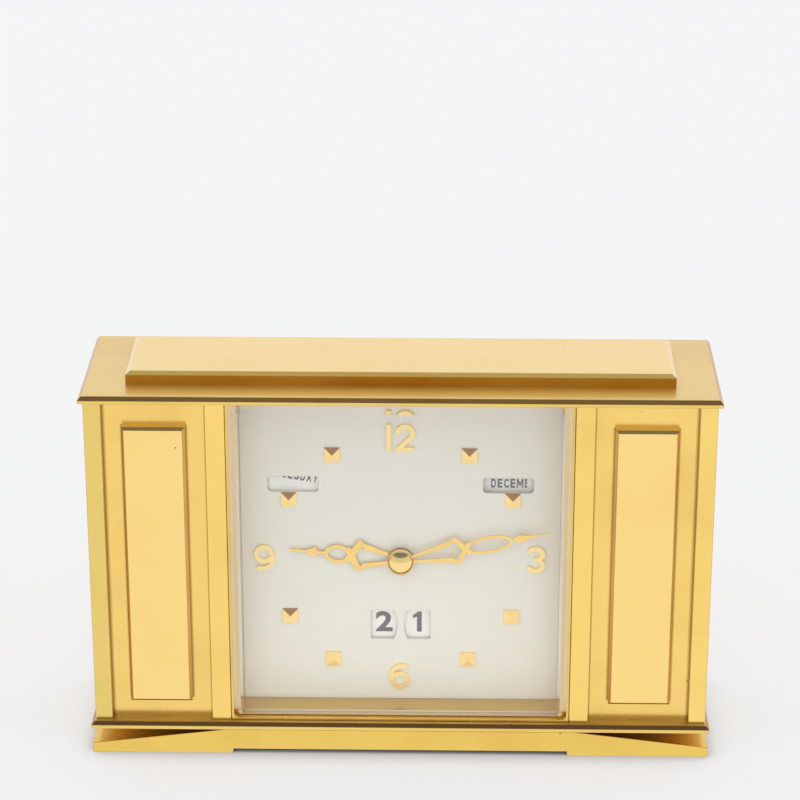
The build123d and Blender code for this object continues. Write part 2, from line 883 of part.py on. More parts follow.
def hour_numerals():
    one = Pos(-one_offset, 0) * figure_one()
    two = Pos(two_offset, 0) * figure_two()
    nine = Rot(Z=180) * figure_six()
    outlines = [
        Pos(0, axis_z + twelve_radius) * one,
        Pos(0, axis_z + twelve_radius) * two,
        Pos(side_numeral_radius, axis_z) * figure_three(),
        Pos(-six_offset, axis_z - twelve_radius) * figure_six(),
        Pos(-side_numeral_radius, axis_z) * nine,
    ]
    return group(along_y(outline, dial_front - numeral_thickness, dial_front) for outline in outlines)


# Pierced hand: shares of the length along the arm, ribbon, loop and tip, and of the half width across
corner_shares = {"hour": 0.376, "minute": 0.370}
inner_corner_shares = {"hour": 0.335, "minute": 0.336}
cross_shares = {"hour": 0.445, "minute": 0.430}
loop_shares = {"hour": 0.687, "minute": 0.735}
barb_back_shares = {"hour": 0.745, "minute": 0.745}
barb_shares = {"hour": 0.772, "minute": 0.786}
barb_front_shares = {"hour": 0.845, "minute": 0.865}
inner_height_share = 0.55
loop_height_shares = {"hour": 0.72, "minute": 0.74}
barb_height_shares = {"hour": 0.42, "minute": 0.36}
ribbon_end_share = 0.35


def pierced_hand(kind, length, half_width, strokes, eye, bore):
    corner = corner_shares[kind] * length
    inner_corner = inner_corner_shares[kind] * length
    cross = cross_shares[kind] * length
    loop_end = loop_shares[kind] * length
    barb = barb_shares[kind] * length
    loop_height = loop_height_shares[kind] * half_width
    barb_height = barb_height_shares[kind] * half_width
    ribbon_end = cross + ribbon_end_share * (cross - corner)
    half_loop = (loop_end - cross) / 2
    hole = Ellipse(half_loop - strokes["loop"], loop_height - strokes["loop"])
    shape = Circle(eye) + Pos(cross + half_loop, 0) * (Ellipse(half_loop, loop_height) - hole)
    half_arm = strokes["arm"] / 2
    for side in (-1, 1):
        tip = (corner, side * half_width)
        arm = [(eye / 2, strokes["root"] - half_arm), (eye / 2, strokes["root"] + half_arm),
               (corner, half_width + half_arm), (inner_corner, half_width * inner_height_share)]
        shape += make_face(Polyline(*[(x, side * z) for x, z in arm], close=True))
        shape += stroke(tip, (ribbon_end, -side * half_width * ribbon_end_share), strokes["ribbon"])
    half_neck, half_tip = strokes["neck"] / 2, strokes["tip"] / 2
    shape += stroke((loop_end - half_neck, 0), (barb, 0), strokes["neck"])
    point = [(barb_back_shares[kind] * length, half_neck), (barb, barb_height),
             (barb_front_shares[kind] * length, half_neck), (length, half_tip)]
    point += [(x, -z) for x, z in reversed(point)]
    shape += make_face(Polyline(*point, close=True))
    return shape - Circle(bore)


def hand_in_place(outline, clockwise, start, end):
    return along_y(Pos(0, axis_z) * Rot(Z=90 - clockwise) * outline, start, end)


def hour_hand():
    bore = hour_pipe_radius() + fixed_gap
    outline = pierced_hand(
        "hour", hour_hand_length, hour_hand_half_width, hour_strokes, hour_eye_radius, bore)
    return hand_in_place(outline, hour_hand_clockwise, hour_hand_front, hour_hand_back)


def minute_hand():
    bore = minute_arbor_radius + fixed_gap
    outline = pierced_hand(
        "minute", minute_hand_length, minute_hand_half_width, minute_strokes, minute_eye_radius, bore)
    return hand_in_place(outline, minute_hand_clockwise, minute_hand_front, minute_hand_back)


def hub_cap():
    # A polished cap, a short barrel with a domed front, that covers the middle of the hands
    ball_radius = (hub_radius ** 2 + hub_dome ** 2) / (2 * hub_dome)
    top = minute_hand_front - hub_barrel - hub_dome
    barrel = round_bar(0, axis_z, hub_radius, top, minute_hand_front)
    cap = barrel & Pos(0, top + ball_radius, axis_z) * Sphere(ball_radius)
    rim = cap.edges().filter_by(GeomType.CIRCLE).sort_by(Axis.Y)[0]
    return fillet(rim, hub_round)


def minute_arbor():
    shape = round_bar(0, axis_z, minute_arbor_radius, minute_hand_front, cover_back + knob_lift)
    pinion = gear_outline(cannon_teeth, motion_module, pinion_addendum_share, phase=-math.pi / 2)
    back_end = minute_wheel_front + gear_thickness + pinion_overlap / 2
    return shape + along_y(Pos(0, axis_z) * pinion, minute_wheel_front - pinion_overlap / 2, back_end)


def centre_wheel():
    outline = gear_outline(train_wheel_teeth, centre_module, wheel_addendum_share, phase=math.pi / 2)
    end = centre_wheel_front + gear_thickness
    return gear((0, axis_z), outline, minute_arbor_radius + fixed_gap, centre_wheel_front, end)


def hour_wheel():
    outline = gear_outline(hour_wheel_teeth, hour_module, wheel_addendum_share, phase=-math.pi / 2)
    bore = minute_arbor_radius + running_gap
    wheel = gear((0, axis_z), outline, bore, hour_wheel_front, hour_wheel_front + gear_thickness)
    ring = Pos(0, axis_z) * (Circle(hour_pipe_radius()) - Circle(bore))
    return wheel + along_y(ring, hour_hand_front, hour_wheel_front)


def minute_wheel():
    # Phases put a tooth space where the neighbour has a tooth
    wheel_phase = math.pi / 2 + math.pi / minute_wheel_teeth
    pinion_phase = math.pi / 2 + math.pi / minute_pinion_teeth
    bore = arbor_radius + running_gap
    place = (0, minute_wheel_z)
    wheel = gear_outline(minute_wheel_teeth, motion_module, wheel_addendum_share, wheel_phase)
    pinion = gear_outline(minute_pinion_teeth, hour_module, pinion_addendum_share, pinion_phase)
    shape = gear(place, wheel, bore, minute_wheel_front, minute_wheel_front + gear_thickness)
    return shape + gear(place, pinion, bore, hour_wheel_front - pinion_overlap / 2, minute_wheel_front)


def train_arbor(z):
    return round_bar(0, z, arbor_radius, plate_front + loose_gap, rear_plate_back - loose_gap)


def third_wheel():
    pinion_phase = -math.pi / 2 + math.pi / train_pinion_teeth
    pinion = gear_outline(train_pinion_teeth, centre_module, pinion_addendum_share, pinion_phase)
    wheel = gear_outline(train_wheel_teeth, third_module, wheel_addendum_share, phase=math.pi / 2)
    pinion_start = centre_wheel_front - pinion_overlap
    pinion_end = centre_wheel_front + gear_thickness + pinion_overlap
    shape = train_arbor(third_z) + along_y(Pos(0, third_z) * pinion, pinion_start, pinion_end)
    wheel_end = third_wheel_front + gear_thickness
    return shape + along_y(Pos(0, third_z) * wheel, third_wheel_front, wheel_end)


def index_wheel():
    pinion_phase = -math.pi / 2 + math.pi / train_pinion_teeth
    pinion = gear_outline(train_pinion_teeth, third_module, pinion_addendum_share, pinion_phase)
    pinion_start = third_wheel_front - pinion_overlap
    pinion_end = third_wheel_front + gear_thickness + pinion_overlap
    shape = train_arbor(index_z) + along_y(Pos(0, index_z) * pinion, pinion_start, pinion_end)
    points = []
    for tooth in range(index_teeth):
        angle = 2 * math.pi * tooth / index_teeth
        step = math.pi / index_teeth
        for turn, radius in ((angle, index_radius), (angle + step, index_radius - index_depth)):
            points.append((radius * math.cos(turn), radius * math.sin(turn)))
    saw = make_face(Polyline(*points, close=True))
    return shape + along_y(Pos(0, index_z) * saw, index_wheel_front, index_wheel_front + gear_thickness)


def balance_staff():
    roller = round_bar(0, balance_z, roller_radius, index_wheel_front, index_wheel_front + gear_thickness)
    return train_arbor(balance_z) + roller


def balance_wheel():
    outline = Circle(balance_radius) - Circle(balance_radius - balance_rim)
    outline += Circle(balance_hub_radius)
    reach = 2 * balance_radius - balance_rim
    for turn in (0, 60, 120):
        outline += Rot(Z=turn) * Rectangle(reach, balance_spoke)
    outline -= Circle(arbor_radius + fixed_gap)
    return along_y(Pos(0, balance_z) * outline, balance_front, balance_front + balance_thickness)


def hairspring():
    # A flat spiral whose outer end is pinned to a stud on the rear plate
    inner = arbor_radius + clear_gap + hairspring_wire / 2
    steps = hairspring_turns * hairspring_steps
    outside = []
    inside = []
    for step in range(steps + 1):
        turn = 2 * math.pi * step / hairspring_steps
        radius = inner + (hairspring_outer - inner) * step / steps
        outside.append((radius + hairspring_wire / 2, turn))
        inside.append((radius - hairspring_wire / 2, turn))
    points = [(radius * math.cos(turn), radius * math.sin(turn)) for radius, turn in outside + inside[::-1]]
    ribbon = make_face(Polyline(*points, close=True))
    shape = along_y(Pos(0, balance_z) * ribbon, hairspring_front, hairspring_front + hairspring_height)
    stud = round_bar(hairspring_outer, balance_z, hairspring_stud / 2, hairspring_front, rear_plate_front)
    return shape + stud


def drive_coil():
    z = balance_z + coil_place
    end = balance_front - layer_gap
    core = round_bar(0, z, coil_core_radius, plate_back, end)
    ends = [(plate_back, plate_back + coil_flange), (end - coil_flange, end)]
    for start, stop in ends:
        core += round_bar(0, z, coil_radius, start, stop)
    winding = round_bar(0, z, coil_radius - coil_flange / 2, ends[0][1], ends[1][0])
    return core + winding


def movement_outline():
    middle = axis_z + (plate_reach_up - plate_reach_down) / 2
    height = plate_reach_up + plate_reach_down
    return Pos(0, middle) * RectangleRounded(2 * plate_half_width, height, movement_plate_corner)


def arbor_holes():
    outline = Pos(0, axis_z) * Circle(minute_arbor_radius + running_gap)
    for z in (third_z, index_z, balance_z):
        outline += Pos(0, z) * Circle(arbor_radius + running_gap)
    for x, z, _, _ in stem_places.values():
        outline += Pos(x, z) * Circle(stem_radius + running_gap)
    return outline


def movement_front_plate():
    outline = movement_outline() - arbor_holes()
    for x, z in pillar_places:
        outline -= Pos(x, z) * Circle(pillar_tail_radius + fixed_gap)
    for x, z in post_places:
        outline -= Pos(x, z) * Circle(post_tail_radius + fixed_gap)
    stud = round_bar(0, minute_wheel_z, arbor_radius, hour_wheel_front - pinion_overlap, plate_front)
    return along_y(outline, plate_front, plate_back) + stud


def movement_rear_plate():
    outline = movement_outline() - arbor_holes()
    for x, z in pillar_places:
        outline -= Pos(x, z) * Circle(small_screw_radius + loose_gap)
    return along_y(outline, rear_plate_front, rear_plate_back)


def movement_pillars():
    profile = [
        (0, plate_front),
        (pillar_tail_radius, plate_front),
        (pillar_tail_radius, plate_back),
        (pillar_radius, plate_back),
        (pillar_radius, rear_plate_front),
        (small_screw_radius + fixed_gap, rear_plate_front),
        (small_screw_radius + fixed_gap, rear_plate_front - pillar_screw_bite),
        (0, rear_plate_front - pillar_screw_bite),
    ]
    return group(turned(x, z, profile) for x, z in pillar_places)


def rear_spacers():
    ring = Circle(pillar_radius) - Circle(small_screw_radius + loose_gap)
    return group(along_y(Pos(x, z) * ring, rear_plate_back, cover_front) for x, z in pillar_places)


def movement_screws():
    reach = cover_back - rear_plate_front + pillar_screw_bite - loose_gap
    one = screw(small_screw_radius, reach, small_head_radius, small_head_height)
    return group(facing_back(x, cover_back, z) * one for x, z in pillar_places)


def dial_posts():
    profile = [
        (0, dial_back),
        (post_radius, dial_back),
        (post_radius, plate_front),
        (post_tail_radius, plate_front),
        (post_tail_radius, plate_back),
        (0, plate_back),
    ]
    return group(turned(x, z, profile) for x, z in post_places)


def calendar_disc(place):
    x, z, start, radius = place
    ring = Circle(radius) - Circle(stem_radius + fixed_gap)
    return along_y(Pos(x, z) * ring, start, start + disc_thickness)


def fluted_knob(radius):
    points = []
    for flute in range(2 * knob_flutes):
        turn = math.pi * flute / knob_flutes
        reach = radius - flute_depth * (flute % 2)
        points.append((reach * math.cos(turn), reach * math.sin(turn)))
    return make_face(Polyline(*points, close=True))


def knob(x, z, radius):
    start = cover_back + knob_lift
    shape = along_y(Pos(x, z) * fluted_knob(radius), start, start + knob_height)
    crown = [
        (0, start),
        (radius, start),
        (radius, start + knob_height - knob_chamfer),
        (radius - knob_chamfer, start + knob_height),
        (0, start + knob_height),
    ]
    return shape & turned(x, z, crown)


def calendar_knob(place):
    # A stem with a collar behind its disc and a fluted knob outside the rear cover
    x, z, start, _ = place
    stem = round_bar(x, z, stem_radius, start, cover_back + knob_lift)
    seat = start + disc_thickness
    collar = round_bar(x, z, stem_collar_radius, seat, seat + stem_collar_length)
    return stem + collar + knob(x, z, knob_radius)


pieces = {
    "base_foot": base_foot(),
    "foot_screws": foot_screws(),
    "base_plate": base_plate(),
    "top_plate": top_plate(),
    "top_slab": top_slab(),
    "slab_screws": slab_screws(),
    "tie_rods": tie_rods(),
    "tie_rod_screws": tie_rod_screws(),
    "block_screws": block_screws(),
    "rear_cover": rear_cover(),
    "rear_cover_screws": rear_cover_screws(),
    "window_bezel": window_bezel(),
    "bevelled_glass": bevelled_glass(),
    "shadow_box": shadow_box(),
    "dial": dial(),
    "hour_markers": hour_markers(),
    "hour_numerals": hour_numerals(),
    "dial_posts": dial_posts(),
    "movement_front_plate": movement_front_plate(),
    "movement_rear_plate": movement_rear_plate(),
    "movement_pillars": movement_pillars(),
    "rear_spacers": rear_spacers(),
    "movement_screws": movement_screws(),
    "drive_coil": drive_coil(),
    "hairspring": hairspring(),
    "battery": battery(),
    "battery_holder": battery_holder(),
    "battery_contacts": battery_contacts(),
    "battery_door": battery_door(),
    "hinge_pin": hinge_pin(),
    "minute_arbor": minute_arbor(),
    "centre_wheel": centre_wheel(),
    "minute_hand": minute_hand(),
    "hub_cap": hub_cap(),
    "hand_setting_knob": knob(0, axis_z, set_knob_radius),
    "hour_wheel": hour_wheel(),
    "hour_hand": hour_hand(),
    "minute_wheel": minute_wheel(),
    "third_wheel": third_wheel(),
    "index_wheel": index_wheel(),
    "balance_wheel": balance_wheel(),
    "balance_staff": balance_staff(),
}
for maker in (right_front_panel, right_outer_strip, right_inner_strip, right_raised_block, right_side_plate):
    shape = maker()
    pieces[maker.__name__] = shape
    pieces[maker.__name__.replace("right", "left")] = mirrored(shape)
for name, place in stem_places.items():
    pieces[name + "_disc"] = calendar_disc(place)
    pieces[name + "_knob"] = calendar_knob(place)

os.makedirs("parts", exist_ok=True)
for name, shape in pieces.items():
    export_step(shape, "parts/" + name + ".step")
print(len(pieces), "nodes")
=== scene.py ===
import math

import bmesh
import bpy
from mathutils import Matrix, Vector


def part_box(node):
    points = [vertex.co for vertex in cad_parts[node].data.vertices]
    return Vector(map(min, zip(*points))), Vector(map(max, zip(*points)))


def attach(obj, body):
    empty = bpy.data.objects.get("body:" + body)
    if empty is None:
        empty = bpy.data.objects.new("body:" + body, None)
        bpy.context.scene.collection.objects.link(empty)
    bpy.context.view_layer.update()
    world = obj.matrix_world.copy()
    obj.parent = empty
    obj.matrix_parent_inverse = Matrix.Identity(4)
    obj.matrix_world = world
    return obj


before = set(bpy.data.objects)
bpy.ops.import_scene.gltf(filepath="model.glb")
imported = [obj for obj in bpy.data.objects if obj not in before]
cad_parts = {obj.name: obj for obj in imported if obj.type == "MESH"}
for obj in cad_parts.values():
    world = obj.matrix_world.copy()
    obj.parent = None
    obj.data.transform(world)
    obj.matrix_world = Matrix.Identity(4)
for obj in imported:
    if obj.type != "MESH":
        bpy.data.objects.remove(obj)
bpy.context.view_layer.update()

bpy.context.scene.view_settings.view_transform = "Standard"


# Foot and the two plates: rolled brass, sawn, chamfered and brushed lengthwise, then lacquered.
# The foot's ends are planed to a taper. Screws from below hold the stack together.
class Shade:
    # A socket of a node tree; sums, products and comparisons of such sockets become Math nodes
    def __init__(self, tree, socket):
        self.tree = tree
        self.socket = socket

    def node(self, kind, settings, sockets, output=0):
        made = self.tree.nodes.new(kind)
        for name, value in settings.items():
            setattr(made, name, value)
        for key, value in sockets.items():
            if isinstance(value, Shade):
                self.tree.links.new(value.socket, made.inputs[key])
            else:
                made.inputs[key].default_value = value
        return Shade(self.tree, made.outputs[output])

    def into(self, made, name):
        self.tree.links.new(self.socket, made.inputs[name])

    def maths(self, operation, first, second):
        return self.node("ShaderNodeMath", {"operation": operation}, {0: first, 1: second})

    def larger(self, other):
        return self.maths("MAXIMUM", self, other)

    def part(self, axis):
        # A vector's share along X, Y or Z, as 0, 1 or 2
        return self.node("ShaderNodeSeparateXYZ", {}, {0: self}, output=axis)

    def ramp(self, start, end, low=0.0, high=1.0, shape="LINEAR"):
        # Goes from low to high as the value goes from start to end, and no further
        return self.node(
            "ShaderNodeMapRange", {"interpolation_type": shape},
            {"Value": self, "From Min": start, "From Max": end, "To Min": low, "To Max": high})

    def __abs__(self):
        return self.maths("ABSOLUTE", self, 0.0)

    def __add__(self, other):
        return self.maths("ADD", self, other)

    def __radd__(self, other):
        return self.maths("ADD", other, self)

    def __sub__(self, other):
        return self.maths("SUBTRACT", self, other)

    def __rsub__(self, other):
        return self.maths("SUBTRACT", other, self)

    def __mul__(self, other):
        return self.maths("MULTIPLY", self, other)

    def __rmul__(self, other):
        return self.maths("MULTIPLY", other, self)

    def __lt__(self, other):
        return self.maths("LESS_THAN", self, other)

    def __gt__(self, other):
        return self.maths("GREATER_THAN", self, other)


def tone(red, green, blue):
    # A colour as it is read off a screen, 0 to 255
    def linear(level):
        level = level / 255
        return level / 12.92 if level <= 0.04045 else ((level + 0.055) / 1.055) ** 2.4
    return linear(red), linear(green), linear(blue), 1.0


def new_finish(name, constants):
    material = bpy.data.materials.new(name)
    material.use_nodes = True
    tree = material.node_tree
    surface = tree.nodes["Principled BSDF"]
    for socket, value in constants.items():
        surface.inputs[socket].default_value = value
    place = tree.nodes.new("ShaderNodeTexCoord").outputs["Object"]
    return material, surface, Shade(tree, place)


def stretched_noise(place, scale, detail=3.0, turn=(0.0, 0.0, 0.0)):
    moved = place.node("ShaderNodeMapping", {}, {"Vector": place, "Scale": scale, "Rotation": turn})
    return place.node("ShaderNodeTexNoise", {}, {"Vector": moved, "Scale": 1.0, "Detail": detail})


def even_noise(place, scale, detail=3.0):
    return stretched_noise(place, (scale, scale, scale), detail)


def varied(noise, middle, width):
    # Values about a middle, which a noise spreads over about this width
    return middle + (noise - 0.5) * width


def mixed(amount, first, second):
    return amount.node("ShaderNodeMix", {"data_type": "RGBA"}, {0: amount, 6: first, 7: second}, output=2)


def facing(place):
    # The way that the face itself points, before any bump
    return place.node("ShaderNodeNewGeometry", {}, {}, output=3)


scratch_scale, scratch_turn, scratch_above = (1400.0, 1400.0, 40.0), (0.3, 0.5, 0.2), 0.70
speck_scale, speck_radius, speck_above = 170.0, 0.055, 0.86
speck_colour, dirt_and_shade_colour = (96, 62, 22), (118, 78, 18)
tarnish_start, tarnish_full = 0.45, 0.80
most_tarnish, most_speck, most_dirt_and_shade = 0.40, 0.75, 0.8
line_roughness, cloud_roughness, scratch_roughness, speck_roughness = 0.06, 0.12, 0.06, 0.25
line_relief, scratch_relief = 0.7, 0.3
flat_above, lean_above = 0.95, 0.3
thin_lacquer, thick_lacquer = 1.5, 1.8
grain_depth = 0.00002


def satin_brass(name, grain, bright, dull, roughness, coat, edges=None, brown=(186, 126, 76),
                dark_reflection_shares=(0.0, 0.0, 0.0), corners=()):
    # Brushed brass: fine lines along the grain, cloudy tarnish, a few dark specks and long scratches.
    # edges: roughness and lacquer off the flat top, and the share of lacquer on sideways chamfers.
    # dark_reflection_shares: shares of painted brown, a painted dark reflection, on up and sideways chamfers
    # and front and back faces.
    # corners: lines of dirt and painted shade, each with its distance from the clock's middle, its reach and
    # its two ends
    lacquer_index = thick_lacquer if edges else thin_lacquer
    material, surface, place = new_finish(
        name, {"Metallic": 1.0, "Coat Weight": coat, "Coat Roughness": 0.10, "Coat IOR": lacquer_index})
    lines = stretched_noise(place, grain)
    clouds = even_noise(place, scale=38.0, detail=4.0)
    scratch = stretched_noise(place, scratch_scale, detail=1.0, turn=scratch_turn) > scratch_above
    dots = place.node("ShaderNodeTexVoronoi", {}, {"Vector": place, "Scale": speck_scale})
    pick = place.node("ShaderNodeTexVoronoi", {}, {"Vector": place, "Scale": speck_scale}, output=1)
    chosen = place.node("ShaderNodeSeparateColor", {}, {0: pick})
    specks = (dots < speck_radius) * (chosen > speck_above)
    tarnish = clouds.ramp(tarnish_start, tarnish_full, high=most_tarnish)
    colour = mixed(tarnish, tone(*bright), tone(*dull))
    colour = mixed(specks * most_speck, colour, tone(*speck_colour))
    outward = facing(place)
    lean = [abs(outward.part(axis)) for axis in (0, 1, 2)]
    flat = [side > flat_above for side in lean]
    sloped = 1 - (flat[0] + flat[1] + flat[2])
    leans_up, leans_sideways = sloped * (lean[2] > lean_above), sloped * (lean[0] > lean_above)
    # Brown on the chamfers and the front and back faces is painted: it stands in for a dark reflection.
    if any(dark_reflection_shares):
        patchy = clouds.ramp(0.2, 0.8, low=0.7)
        painted_dark_reflection = dark_reflection_shares[0] * leans_up + dark_reflection_shares[1] * leans_sideways + dark_reflection_shares[2] * flat[1]
        colour = mixed(patchy * painted_dark_reflection, colour, tone(*brown))
    off_middle, up = abs(place.part(0)), place.part(2)
    # Dark lines along the strips and the blocks: partly dirt, partly painted shade where the parts meet.
    for edge, reach, low, high in corners:
        dirt_and_shade = abs(off_middle - edge).ramp(0.0, reach, most_dirt_and_shade, 0.0)
        colour = mixed(dirt_and_shade * (up > low) * (up < high), colour, tone(*dirt_and_shade_colour))
    colour.into(surface, "Base Color")
    rough = (lines - 0.5) * line_roughness + (clouds - 0.5) * cloud_roughness
    rough = rough + scratch * scratch_roughness + specks * speck_roughness
    if edges:
        edge_roughness, edge_lacquer, sideways_share = edges
        rough = rough + edge_roughness + flat[2] * (roughness - edge_roughness)
        lacquer = edge_lacquer + (flat[2] + sideways_share * leans_sideways) * (coat - edge_lacquer)
        lacquer.into(surface, "Coat Weight")
    else:
        rough = rough + roughness
    rough.into(surface, "Roughness")
    relief = lines * line_relief + scratch * scratch_relief - specks
    bump = place.node("ShaderNodeBump", {}, {"Strength": 0.05, "Distance": grain_depth, "Height": relief})
    bump.into(surface, "Normal")
    return material


def dress(material, *nodes):
    for node in nodes:
        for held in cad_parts[node].material_slots:
            held.material = material


weld_gap = 0.000002
sharp_edge = math.radians(25)


def soften(width, *nodes):
    # Breaks the sharp edges, as a file does, so that they catch the light
    for node in nodes:
        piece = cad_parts[node]
        weld = piece.modifiers.new("weld", "WELD")
        weld.merge_threshold = weld_gap
        edge = piece.modifiers.new("edge", "BEVEL")
        edge.width = width
        edge.segments = 2
        edge.limit_method = "ANGLE"
        edge.angle_limit = sharp_edge


lengthwise = (60.0, 5200.0, 5200.0)
plate_edge_break = 0.00018
plate_brass = satin_brass(
    "plate brass", lengthwise, bright=(239, 204, 112), dull=(220, 176, 86), roughness=0.48, coat=0.90,
    edges=(0.18, 0.25, 0.0), dark_reflection_shares=(0.75, 0.6, 0.0))
foot_brass = satin_brass(
    "foot brass", lengthwise, bright=(238, 200, 97), dull=(218, 170, 74), roughness=0.22, coat=0.40,
    dark_reflection_shares=(0.5, 0.5, 0.0))
dress(plate_brass, "top_plate", "base_plate")
dress(foot_brass, "base_foot")
soften(plate_edge_break, "top_plate", "base_plate", "base_foot")

# Top slab: a thicker brass bar with a wide chamfer, brushed finer than the plates and well lacquered.
# Two screws from under the top plate hold it.
fine_lengthwise = (50.0, 6500.0, 6500.0)
slab_brass = satin_brass(
    "slab brass", fine_lengthwise, bright=(252, 216, 124), dull=(244, 200, 106), roughness=0.30, coat=1.0,
    edges=(0.20, 0.1, 1.0), brown=(190, 127, 10), dark_reflection_shares=(0.12, 0.0, 1.0))
dress(slab_brass, "top_slab")
soften(plate_edge_break, "top_slab")

# Side bays: brass panels with two upright strips each and a raised block between them, all brushed
# upright. The strips are soldered on, and the blocks are held by screws from behind.
# Dirt and painted shade lie along the strips and the blocks, and the left outer strip is duller than the
# others.
upright = (5200.0, 5200.0, 60.0)
bay_edge_break = 0.00015
outer_reach, inner_reach, block_reach = 0.0011, 0.0006, 0.0008
outer_low, outer_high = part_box("right_outer_strip")
inner_low, inner_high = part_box("right_inner_strip")
block_low, block_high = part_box("right_raised_block")
field_corners = [
    (outer_low.x, outer_reach, outer_low.z, outer_high.z),
    (inner_high.x, inner_reach, inner_low.z, inner_high.z),
    (block_low.x, block_reach, block_low.z, block_high.z),
    (block_high.x, block_reach, block_low.z, block_high.z),
]
panel_brass = satin_brass(
    "panel brass", upright, bright=(249, 211, 117), dull=(224, 178, 88), roughness=0.26, coat=0.40,
    corners=field_corners)
side_brass = satin_brass(
    "side brass", upright, bright=(247, 209, 116), dull=(222, 176, 88), roughness=0.22, coat=0.40)
strip_brass = satin_brass(
    "strip brass", upright, bright=(251, 214, 118), dull=(226, 184, 94), roughness=0.19, coat=0.40,
    dark_reflection_shares=(0.5, 0.5, 0.0))
dull_strip_brass = satin_brass(
    "dull strip brass", upright, bright=(236, 206, 115), dull=(196, 184, 98), roughness=0.22, coat=0.40,
    dark_reflection_shares=(0.5, 0.5, 0.0))
block_brass = satin_brass(
    "block brass", upright, bright=(253, 219, 136), dull=(246, 205, 114), roughness=0.20, coat=0.50,
    brown=(190, 130, 34), dark_reflection_shares=(0.3, 0.85, 0.0))
for side in ("left", "right"):
    plate, outer, inner, block = [
        side + name for name in ("_side_plate", "_outer_strip", "_inner_strip", "_raised_block")]
    dress(panel_brass, side + "_front_panel")
    dress(side_brass, plate)
    dress(strip_brass, outer, inner)
    dress(block_brass, block)
    soften(bay_edge_break, plate, outer, inner, block)
dress(dull_strip_brass, "left_outer_strip")

# Tie rods and screws: turned steel, slotted heads, plain and slightly dulled.
# The rods run from plate to plate behind the inner strips.
dulled_share = 0.8


def turned_steel(name, colour, roughness):
    material, surface, place = new_finish(name, {"Metallic": 1.0})
    lines = even_noise(place, scale=2400.0, detail=2.0)
    clouds = even_noise(place, scale=120.0)
    shade = mixed(clouds, tone(*colour), tone(*[level * dulled_share for level in colour]))
    shade.into(surface, "Base Color")
    rough = varied(lines, middle=roughness, width=0.2)
    rough.into(surface, "Roughness")
    return material


screw_steel = turned_steel("screw steel", colour=(200, 198, 190), roughness=0.36)
dress(screw_steel, "foot_screws", "slab_screws", "tie_rods", "tie_rod_screws", "block_screws",
      "rear_cover_screws", "movement_screws", "hinge_pin")

# Window: a thin brass bezel holds a plate of clear glass with a ground and polished bevel.
# Behind it a box of polished brass sheet runs back to the dial, with a yellower floor, and pale side edges
# painted as a reflection of the dial.
bezel_brass = satin_brass(
    "bezel brass", upright, bright=(240, 200, 104), dull=(190, 140, 60), roughness=0.24, coat=0.4)
dress(bezel_brass, "window_bezel")
liner_floor_depth, dial_reflection_width = 0.0022, 0.0016
liner, liner_surface, liner_place = new_finish("liner brass", {"Metallic": 1.0})
liner_low, liner_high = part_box("shadow_box")
liner_floor = liner_place.part(2) < liner_low.z + liner_floor_depth
# The pale side edges are a painted reflection of the dial.
dial_reflection_rim = (1 - liner_floor) * (abs(liner_place.part(0)) > liner_high.x - dial_reflection_width)
liner_clouds = even_noise(liner_place, scale=90.0)
liner_lines = stretched_noise(liner_place, (900.0, 3200.0, 900.0))
liner_tint = mixed(liner_floor, tone(224, 194, 140), tone(217, 182, 94))
liner_tint = mixed(dial_reflection_rim, liner_tint, tone(232, 218, 190))
liner_tint = mixed(liner_clouds * 0.3, liner_tint, tone(204, 166, 100))
liner_tint.into(liner_surface, "Base Color")
liner_rough = 0.22 - liner_floor * 0.09 + (liner_lines - 0.5) * 0.08 + dial_reflection_rim * 0.2
liner_rough.into(liner_surface, "Roughness")
dress(liner, "shadow_box")
glass, glass_surface, glass_place = new_finish(
    "window glass", {"Transmission Weight": 1.0, "IOR": 1.5, "Base Color": tone(252, 253, 252)})
smears = stretched_noise(glass_place, (60.0, 60.0, 25.0), detail=5.0)
film = smears.ramp(0.5, 0.9, high=0.03)
film.into(glass_surface, "Roughness")
dress(glass, "bevelled_glass")
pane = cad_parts["bevelled_glass"]
pane.visible_shadow = False
pane.visible_diffuse = False
pane.visible_glossy = False

# Dial: sheet brass under a cream-silver satin lacquer, pierced for the day, month and date.
# Four posts on its back hold it to the movement.
dial_lacquer, dial_surface, dial_place = new_finish("dial lacquer", {})
flecks = even_noise(dial_place, scale=3800.0, detail=2.0)
haze = even_noise(dial_place, scale=26.0)
dial_tint = mixed(haze, tone(231, 229, 219), tone(226, 223, 212))
dial_tint = mixed(flecks * 0.16, dial_tint, tone(218, 213, 201))
dial_tint.into(dial_surface, "Base Color")
dial_rough = varied(flecks, middle=0.46, width=0.16)
dial_rough.into(dial_surface, "Roughness")
dial_grain = flecks.node("ShaderNodeBump", {}, {"Strength": 0.06, "Distance": grain_depth, "Height": flecks})
dial_grain.into(dial_surface, "Normal")
dress(dial_lacquer, "dial")

# Markers and numerals: stamped brass, gilt and polished, riveted to the dial through small holes.
# The markers are flat pyramids; in the dial's upper half and at its left, brown painted on their upward
# sides is a dark reflection.
dial_low, dial_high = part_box("dial")
dial_middle_height = (dial_low.z + dial_high.z) / 2
darkened_left_of = -0.028
marker_lean = 0.2
less_metal_below = 0.45


